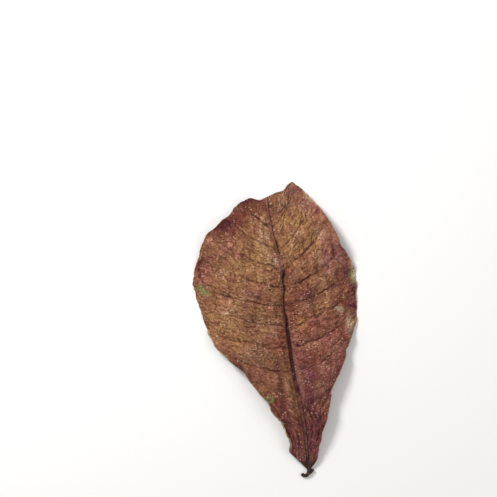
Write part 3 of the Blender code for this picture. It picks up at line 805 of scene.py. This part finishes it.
def make_stalk(material):
    """The hooked stalk and its stub, remeshed into one piece and wrinkled."""
    mesh = bpy.data.meshes.new("leaf_stalk")
    vertices, faces = ridged_tube(STALK, STALK_RINGS, 2)
    more, more_faces = ridged_tube(STUB, STUB_RINGS, 1)
    faces += [[place + len(vertices) for place in face] for face in more_faces]
    mesh.from_pydata(to_frame(np.concatenate((vertices, more))).tolist(), [], faces)
    stalk = add_object("leaf_stalk", mesh)
    remesh = stalk.modifiers.new("one_skin", "REMESH")
    remesh.mode = "VOXEL"
    remesh.voxel_size = STALK_VOXEL * MM
    remesh.use_smooth_shade = True
    bpy.context.view_layer.update()
    skin = bpy.data.meshes.new_from_object(stalk.evaluated_get(bpy.context.evaluated_depsgraph_get()))
    stalk.modifiers.clear()
    stalk.data = skin
    bpy.data.meshes.remove(mesh)
    skin.name = "leaf_stalk"
    wrinkle(skin)
    skin.materials.append(material)
    skin.shade_smooth()
    return stalk


def wrinkle(mesh):
    """Moves each vertex along its normal by smooth noise, and keeps the mesh above the table."""
    normals = [tuple(v.normal) for v in mesh.vertices]
    for vertex, normal in zip(mesh.vertices, normals):
        at = vertex.co / MM
        step = sum(h * 2 * noise.noise(at / s + Vector((0, 0, 9))) for s, h in STALK_WRINKLES)
        vertex.co += Vector(normal) * step * MM
        vertex.co.z = max(vertex.co.z, 0)
    mesh.update()


def linear(colour):
    """A colour from 0 to 255 as Blender's linear red, green, blue and alpha."""
    parts = [c / 255 for c in colour]
    return (*[p / 12.92 if p <= 0.04045 else ((p + 0.055) / 1.055) ** 2.4 for p in parts], 1)


class Graph:
    """Adds shader nodes to one new material. A socket's value is a number, a colour or an output."""

    def __init__(self, name):
        self.material = bpy.data.materials.new(name)
        self.material.use_nodes = True
        self.tree = self.material.node_tree
        in_metres = self.add("TexCoord").outputs["Object"]
        self.object = self.add("Mapping", {"Vector": in_metres, "Scale": [1 / MM] * 3}).outputs[0]

    def add(self, kind, values=None, **settings):
        made = self.tree.nodes.new("ShaderNode" + kind)
        for name, value in settings.items():
            setattr(made, name, value)
        for name, value in (values or {}).items():
            self.give(made.inputs[name], value)
        return made

    def give(self, socket, value):
        if isinstance(value, bpy.types.NodeSocket):
            self.tree.links.new(value, socket)
        else:
            socket.default_value = value

    def field(self, name):
        return self.add("Attribute", attribute_name=name).outputs["Fac"]

    def along(self, name):
        """Flat coordinates in millimetres that are kept on the mesh under this name."""
        return self.add("Attribute", attribute_name=name).outputs["Vector"]

    def stretched(self, size, shift, place=None):
        """Coordinates in units of the given size, one number or two, shifted to a place of its own."""
        wide, high = size if isinstance(size, tuple) else (size, size)
        values = {
            "Vector": place or self.object,
            "Location": (shift, 0.7 * shift, 0.3 * shift),
            "Scale": (1 / wide, 1 / high, 1 / wide),
        }
        return self.add("Mapping", values).outputs[0]

    def noise(self, size, shift, detail=2, distortion=0, place=None):
        """Noise from 0 to 1 with features about this many millimetres across."""
        values = {"Scale": 1, "Detail": detail, "Distortion": distortion}
        values["Vector"] = self.stretched(size, shift, place)
        return self.add("TexNoise", values).outputs[0]

    def cells(self, size, shift, feature, place=None):
        values = {"Vector": self.stretched(size, shift, place), "Scale": 1}
        return self.add("TexVoronoi", values, feature=feature).outputs

    def ramp(self, value, start, end, low=0, high=1):
        """low before start, high after end, smooth between."""
        values = {"Value": value, "From Min": start, "From Max": end, "To Min": low, "To Max": high}
        return self.add("MapRange", values, interpolation_type="SMOOTHSTEP").outputs[0]

    def maths(self, operation, first, second=0):
        return self.add("Math", {0: first, 1: second}, operation=operation).outputs[0]

    def times(self, first, *others):
        for other in others:
            first = self.maths("MULTIPLY", first, other)
        return first

    def plus(self, first, second):
        return self.maths("ADD", first, second)

    def patchy(self, name, value, start, end, low=0, high=1):
        """The named field, stronger in some patches than in others."""
        return self.times(self.field(name), self.ramp(value, start, end, low, high))

    def mix(self, share, first, second):
        """Colour that goes from first to second as share goes from 0 to 1."""
        made = self.add("Mix", {0: share}, data_type="RGBA", clamp_factor=True)
        for socket, value in ((made.inputs[6], first), (made.inputs[7], second)):
            self.give(socket, value if isinstance(value, bpy.types.NodeSocket) else linear(value))
        return made.outputs[2]

    def layered(self, colour, *layers):
        """The colour with others laid over it in turn, each given as its share and itself."""
        for share, tint in layers:
            colour = self.mix(share, colour, tint)
        return colour

    def mix_values(self, share, first, second):
        """Number that goes from first to second as share goes from 0 to 1."""
        return self.add("Mix", {0: share, 2: first, 3: second}, data_type="FLOAT").outputs[0]

    def shaded(self, colour, factor):
        """The colour made lighter or darker by a factor: warmer where darker, paler where lighter."""
        powers = [self.maths("POWER", factor, power) for power in (0.82, 1.12, 1.4)]
        factors = self.add("CombineXYZ", dict(enumerate(powers))).outputs[0]
        return self.add("VectorMath", {0: colour, 1: factors}, operation="MULTIPLY").outputs[0]

    def wobbling(self, size, reach, place=None):
        """Coordinates moved about by up to the given reach, so that what is drawn there is uneven."""
        noise_node = self.add("TexNoise", {"Vector": self.stretched(size, 111), "Scale": 1})
        values = {0: noise_node.outputs["Color"], 1: (2 * reach,) * 3, 2: (-reach,) * 3}
        moved = self.add("VectorMath", values, operation="MULTIPLY_ADD").outputs[0]
        return self.add("VectorMath", {0: place or self.object, 1: moved}).outputs[0]

    def lines(self, size, shift, width, place=None):
        """Thin winding lines: how near to a line, from 1 to 0, and the same for its two flanks."""
        value = self.noise(size, shift, 1, 0.6, place)
        off = self.maths("ABSOLUTE", self.maths("SUBTRACT", value, 0.5))
        core = self.ramp(off, 0.25 * width, width, 1, 0)
        rise, fall = self.ramp(off, width, 1.6 * width), self.ramp(off, 2.6 * width, 1.6 * width)
        return core, self.times(rise, fall)

    def specks(self, size, shift, share, radius, place=None):
        """Small round spots in some of the cells of this size: their strength, with soft edges."""
        spots = self.cells(size, shift, "F1", place)
        draw = self.add("SeparateColor", {"Color": spots["Color"]}).outputs[0]
        chosen = self.ramp(draw, 1 - share, 1 - share + 0.03)
        return self.times(self.ramp(spots["Distance"], radius, 0.4 * radius), chosen)

    def gaps(self, size, shift, place=None):
        """How far each point is from the lines of a net with meshes of this size."""
        return self.cells(size, shift, "DISTANCE_TO_EDGE", place)["Distance"]

    def dress(self, colour, rough, specular, heights):
        """Gives the shader its finish. Each bump is a height from 0 to 1 and its depth in mm."""
        inputs = self.tree.nodes["Principled BSDF"].inputs
        inputs["Specular IOR Level"].default_value = specular
        self.give(inputs["Base Color"], colour)
        self.give(inputs["Roughness"], rough)
        normal = None
        for height, depth in heights:
            made = self.add("Bump", {"Height": height, "Distance": depth * MM, "Strength": 1})
            if normal:
                self.give(made.inputs["Normal"], normal)
            normal = made.outputs[0]
        self.give(inputs["Normal"], normal)
        return self.material


def zone_colours(g, blotch, patch):
    """Golden, russet, rosy, rusty, umber and wine-red zones that run into each other."""
    golden = g.plus(g.field("gold"), g.ramp(blotch, 0.42, 0.62, -0.2, 0.35))
    golden = g.times(golden, g.ramp(patch, 0.36, 0.6, 0.7, 1.15))
    stray = g.ramp(g.field("gold"), 0.3, 0.9, 1, 0.35)
    rosy = g.times(stray, g.ramp(g.noise(6, 21, 2, 0.8), 0.54, 0.68, 0, 0.4))
    rusty = g.times(stray, g.ramp(g.noise(4.6, 27, 2.5, 1), 0.58, 0.72, 0, 0.38))
    wine = g.times(stray, g.ramp(g.noise(5.5, 39, 3, 1), 0.63, 0.74, 0, 0.32))
    wine_zone = g.patchy("wine", g.noise(3.2, 33, 2.5, 0.8), 0.32, 0.6, 0.6, 1.15)
    return g.layered(
        g.mix(golden, RUSSET, GOLD),
        (g.plus(g.patchy("rose", patch, 0.38, 0.6, 0.5, 1.2), rosy), ROSE),
        (g.patchy("umber", g.noise(5, 24, 2, 0.8), 0.36, 0.6, 0.4, 1.1), UMBER),
        (g.plus(g.patchy("rust", patch, 0.38, 0.6, 0.55, 1.2), rusty), RUST),
        (g.patchy("berry", patch, 0.36, 0.6, 1.15, 0.65), BERRY),
        (g.plus(wine_zone, wine), WINE),
        (g.patchy("pale", g.noise(1.8, 42), 0.4, 0.6), PALE),
    )


def puckered(g, size, shift, width, place):
    """Puckered skin: 0 in the narrow valleys of a net, rising to 1 in the middle of its meshes."""
    return g.ramp(g.gaps(size, shift, place), 0, width)


def stroke_shapes(g, patch):
    """Thin dark strokes: along the veins higher up, down towards the foot lower down, and fine ones.

    Gives how strongly each point lies in a stroke, and how strongly on the light flank of one. The
    strokes are partly the fine veins' own darker colour and partly painted shade in creases; the light
    flanks are painted highlight.
    """
    flow, fan = g.along("flow"), g.along("fan")
    lower = g.field("lower")
    higher = g.maths("SUBTRACT", 1, lower)
    broad_patches = g.ramp(g.noise(6, 45), 0.36, 0.58, 0.25, 1)
    fine_patches = g.ramp(patch, 0.4, 0.56, 0.2, 1)
    across = g.lines((7, 3.2), 51, 0.07, g.wobbling(2.6, 1.2, flow))
    down = g.lines((2, 8), 57, 0.1, g.wobbling(2.2, 0.5, fan))
    finer = g.lines((2.8, 1.5), 63, 0.08)
    shapes = []
    for k in (0, 1):
        long = g.plus(g.times(across[k], higher), g.times(down[k], lower, 0.65))
        shapes.append(g.plus(g.times(long, broad_patches), g.times(finer[k], fine_patches, 0.6)))
    return shapes


def crumple_shade_and_colours(g, colour, grain, puckers, strokes, flanks, blotch, patch):
    """Painted light and shade in the hue of the place: lighter crests, darker hollows, folds, wrinkles
    and net valleys, and the lighter and darker patches; also uneven grain, the dark strokes and the
    vein lines.
    """
    # Painted light on the crests and painted shade in the hollows of the fine relief.
    relief = g.field("height")
    tone = g.ramp(relief, 0.2, 0.55, 0.86, 1)
    tone = g.times(tone, g.ramp(relief, 0.6, 0.95, 1, 1.12))
    tone = g.times(tone, g.ramp(grain, 0.3, 0.7, 0.88, 1.12))
    # Painted shade in the valleys of the puckered nets, a little lighter in their meshes.
    for height, darkest, lightest in puckers:
        tone = g.times(tone, g.ramp(height, 0, 1, darkest, lightest))
    # Painted shade in the folds and wrinkles.
    fold_shade = g.times(g.patchy("fold", blotch, 0.4, 0.55), 0.16)
    wrinkle_shade = g.times(g.patchy("wrinkle", patch, 0.4, 0.56), 0.2)
    dark = g.plus(g.plus(g.times(strokes, 0.4), fold_shade), wrinkle_shade)
    # Dark strokes, partly vein colour and partly painted shade, with painted highlights on their
    # flanks.
    tone = g.times(tone, g.plus(g.maths("SUBTRACT", 1, dark), g.times(flanks, 0.3)))
    # The painted light and shade patches brighten or darken the tone.
    tone = g.maths("MAXIMUM", g.times(tone, g.plus(g.field("light"), 1)), 0.22)
    colour = g.shaded(colour, tone)
    return g.mix(g.times(g.field("vein"), 0.85), colour, VEIN_BROWN)


def strand_colour(g):
    """Olive and dark strands along the foot of the midrib."""
    return g.mix(g.ramp(g.field("strand"), 0.35, 0.75), FOOT_DARK, FOOT_OLIVE)


def midrib_colours(g, colour, grain):
    """The dark groove with painted shade beside it, the tan ridge painted as a highlight and the lilac
    strip beside it, painted shade in the long creases, and the olive strands at the foot.
    """
    lower = g.field("lower")
    # Painted shade beside the groove.
    beside = g.patchy("beside", g.noise((2, 7), 75, 3), 0.35, 0.6, 0.2, 0.75)
    return g.layered(
        colour,
        # Rose on the pleat crests: partly their own colour, partly painted light.
        (g.times(g.ramp(g.field("pleat"), 0.62, 0.95), g.ramp(grain, 0.3, 0.6, 0.2, 0.5)), ROSE),
        # Painted highlight along the ridge.
        (g.patchy("ridge", g.noise((3, 9), 69, 3), 0.44, 0.58, 0.1, 0.6), RIDGE_HIGHLIGHT_TAN),
        (g.patchy("lilac", grain, 0.36, 0.6, 0.4, 0.85), LILAC),
        # Painted shade in the long creases.
        (g.patchy("crease", grain, 0.36, 0.6, 1, 0.6), CREASE_SHADE_RED),
        # Painted shade beside the groove.
        (beside, g.mix(lower, FOLD_SHADE_AND_GRAIN_BROWN, WINE)),
        (g.ramp(g.field("groove"), 0.1, 0.75), g.mix(lower, GROOVE_BROWN, GROOVE_WINE)),
        (g.times(g.field("near_midrib"), 0.75), strand_colour(g)),
        (g.ramp(g.field("foot"), 0.3, 0.9, 0, 0.85), FOOT_DARK),
    )


def spot_colours(g, colour, glint_flecks, patch, grain, uneven):
    """Painted glints as pale specks, dark dots, green and cream patches, and the pale edge with its
    painted highlight.
    """
    # Small pale specks in patches: painted glints.
    small = g.times(g.specks((1.5, 1.1), 93, 0.34, 0.42, uneven), g.ramp(patch, 0.45, 0.6))
    return g.layered(
        colour,
        (g.times(glint_flecks, 0.75), GLINT_FLECK),
        (g.times(small, 0.4), PALE),
        (g.times(g.specks((2.9, 2.2), 99, 0.3, 0.34, uneven), 0.6), STROKE),
        (g.patchy("green", grain, 0.36, 0.56, 0.3, 1), GREEN),
        (g.patchy("cream", grain, 0.38, 0.58, 0.4, 1), CREAM),
        # Pale edge: partly its own colour, partly painted highlight.
        (g.field("edge"), PALE_LIT_EDGE),
    )


def upper_material():
    """Upper face, from its broad zones of colour down to its specks."""
    g = Graph("leaf_upper")
    blotch = g.noise(7.5, 3, 3, 0.8)
    patch = g.noise(3.8, 9, 2.5, 0.8)
    grain = g.noise(1.3, 15, 3, 0.4)
    uneven = g.wobbling(1.4, 0.9)
    clusters = g.ramp(g.noise(8, 81, 3), 0.44, 0.6, 0.05, 1)
    bare = g.plus(g.field("groove"), g.field("near_midrib"))
    clusters = g.times(clusters, g.maths("SUBTRACT", 1, bare))
    # Painted glints: pale specks in clusters, a little glossier.
    glint_flecks = g.times(g.specks((2, 1.25), 87, 0.5, 0.4, uneven), clusters)
    strokes, flanks = stroke_shapes(g, patch)
    pebbled = g.ramp(g.noise(9, 114), 0.4, 0.6)
    coarse = puckered(g, (4.6, 2.8), 117, 0.17, g.wobbling(3, 2, g.along("flow")))
    coarse = g.mix_values(pebbled, coarse, 1)
    fine = puckered(g, (2.2, 1.7), 123, 0.25, g.wobbling(1.8, 1))
    fine = g.mix_values(pebbled, 1, fine)
    # The puckered nets paint shade into their valleys and also give bumps.
    puckers = ((coarse, 0.82, 1.03), (fine, 0.8, 1.07))

    colour = zone_colours(g, blotch, patch)
    colour = crumple_shade_and_colours(g, colour, grain, puckers, strokes, flanks, blotch, patch)
    colour = midrib_colours(g, colour, grain)
    colour = spot_colours(g, colour, glint_flecks, patch, grain, uneven)
    rough = g.plus(g.ramp(blotch, 0.35, 0.65, 0.4, 0.56), g.times(glint_flecks, -0.15))
    heights = (
        (grain, 0.25),
        (coarse, 0.4),
        (fine, 0.3),
        (g.maths("SUBTRACT", 1, strokes), 0.35),
        (glint_flecks, 0.1),
        (g.noise(0.5, 105), 0.06),
    )
    return g.dress(colour, rough, 0.22, heights)


def lower_material():
    """Lower face: a duller tan with paler ribs, and dark purple painted shade where the margin rolls
    in.
    """
    g = Graph("leaf_lower")
    blotch = g.noise(7, 3, 4, 0.6)
    grain = g.noise(1.4, 9, 3, 0.4)
    net = g.gaps(1.2, 15)
    strokes, _ = g.lines((5, 1.9), 51, 0.11, g.along("flow"))
    # Painted glints on the rolled margin.
    glint_flecks = g.times(g.specks((2.4, 2), 87, 0.25, 0.35), g.field("rolled"))
    colour = g.layered(
        g.mix(g.ramp(blotch, 0.4, 0.62), UNDERSIDE_TAN, ROSE),
        (g.times(g.field("wine"), 0.7), WINE),
        (g.ramp(grain, 0.54, 0.32, 0, 0.5), FOLD_SHADE_AND_GRAIN_BROWN),
        (g.ramp(net, 0.12, 0, 0, 0.35), RIB_TAN),
        (g.times(g.field("fold"), 0.4), RIB_TAN),
        (g.times(strokes, 0.35), FOLD_SHADE_AND_GRAIN_BROWN),
        (g.patchy("rib", grain, 0.35, 0.6, 0.5, 0.9), RIB_TAN),
        # Painted shade where the margin rolls in.
        (g.patchy("rolled", grain, 0.35, 0.65, 1, 0.85), ROLLED_SHADE_PURPLE),
        (g.times(glint_flecks, 0.7), GLINT_FLECK),
        (g.times(g.field("near_midrib"), 0.7), strand_colour(g)),
        # Pale edge on the rim: partly its own colour, partly painted highlight.
        (g.times(g.field("edge"), g.field("rim")), PALE_LIT_EDGE),
    )
    heights = (
        (grain, 0.25),
        (g.ramp(net, 0.25, 0), 0.12),
        (g.maths("SUBTRACT", 1, strokes), 0.12),
        (g.noise(0.5, 105), 0.05),
    )
    return g.dress(colour, g.ramp(blotch, 0.35, 0.65, 0.5, 0.66), 0.3, heights)


def stalk_material():
    """Dry, nearly black stalk with brown streaks and a few pale scuffs."""
    g = Graph("leaf_stalk")
    grain = g.noise(1.4, 3, 4, 0.5)
    colour = g.layered(
        g.mix(g.ramp(grain, 0.5, 0.72), STALK_BLACK, STALK_BROWN),
        (g.lines(1.1, 9, 0.07)[0], GROOVE_BROWN),
        (g.times(g.specks(1.3, 15, 0.25, 0.4), 0.35), PALE),
    )
    rough = g.ramp(grain, 0.35, 0.65, 0.45, 0.62)
    return g.dress(colour, rough, 0.3, [(g.noise(0.7, 21, 3, 0.4), 0.12)])


def make_floor():
    mesh = bpy.data.meshes.new("floor")
    shape = bmesh.new()
    bmesh.ops.create_grid(shape, x_segments=1, y_segments=1, size=FLOOR_SIZE / 2)
    shape.to_mesh(mesh)
    shape.free()
    material = bpy.data.materials.new("floor_white")
    material.use_nodes = True
    shader = material.node_tree.nodes["Principled BSDF"]
    shader.inputs["Base Color"].default_value = linear(FLOOR_WHITE)
    shader.inputs["Roughness"].default_value = 0.7
    mesh.materials.append(material)
    add_object("floor", mesh)


def make_camera():
    data = bpy.data.cameras.new("camera")
    data.lens = LENS
    data.sensor_width = SENSOR
    camera = add_object("camera", data)
    distance = PHOTO_PIXELS * MM_PER_PIXEL * LENS / SENSOR
    camera.location = to_frame((*VIEW_CENTRE, distance))
    camera.rotation_euler = (0, 0, -LEAF_LEAN)
    bpy.context.scene.camera = camera


def make_light(name, place, size, power):
    """A square soft light that faces the middle of the leaf."""
    data = bpy.data.lights.new(name, "AREA")
    data.size = size
    data.energy = power
    light = add_object(name, data)
    light.location = place
    light.rotation_euler = (-Vector(place)).to_track_quat("-Z", "Y").to_euler()


def make_world():
    world = bpy.data.worlds.new("soft_white")
    bpy.context.scene.world = world
    world.use_nodes = True
    background = world.node_tree.nodes["Background"]
    background.inputs["Color"].default_value = (1, 0.99, 0.98, 1)
    background.inputs["Strength"].default_value = WORLD_STRENGTH


def main():
    blade = make_blade((upper_material(), lower_material()))
    stalk = make_stalk(stalk_material())
    for piece in (blade, stalk):
        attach(piece, "root")
    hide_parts("leaf")
    make_floor()
    make_camera()
    make_light("key", *KEY_LIGHT)
    make_light("fill", *FILL_LIGHT)
    make_world()
    bpy.context.scene.view_settings.view_transform = "Standard"


main()
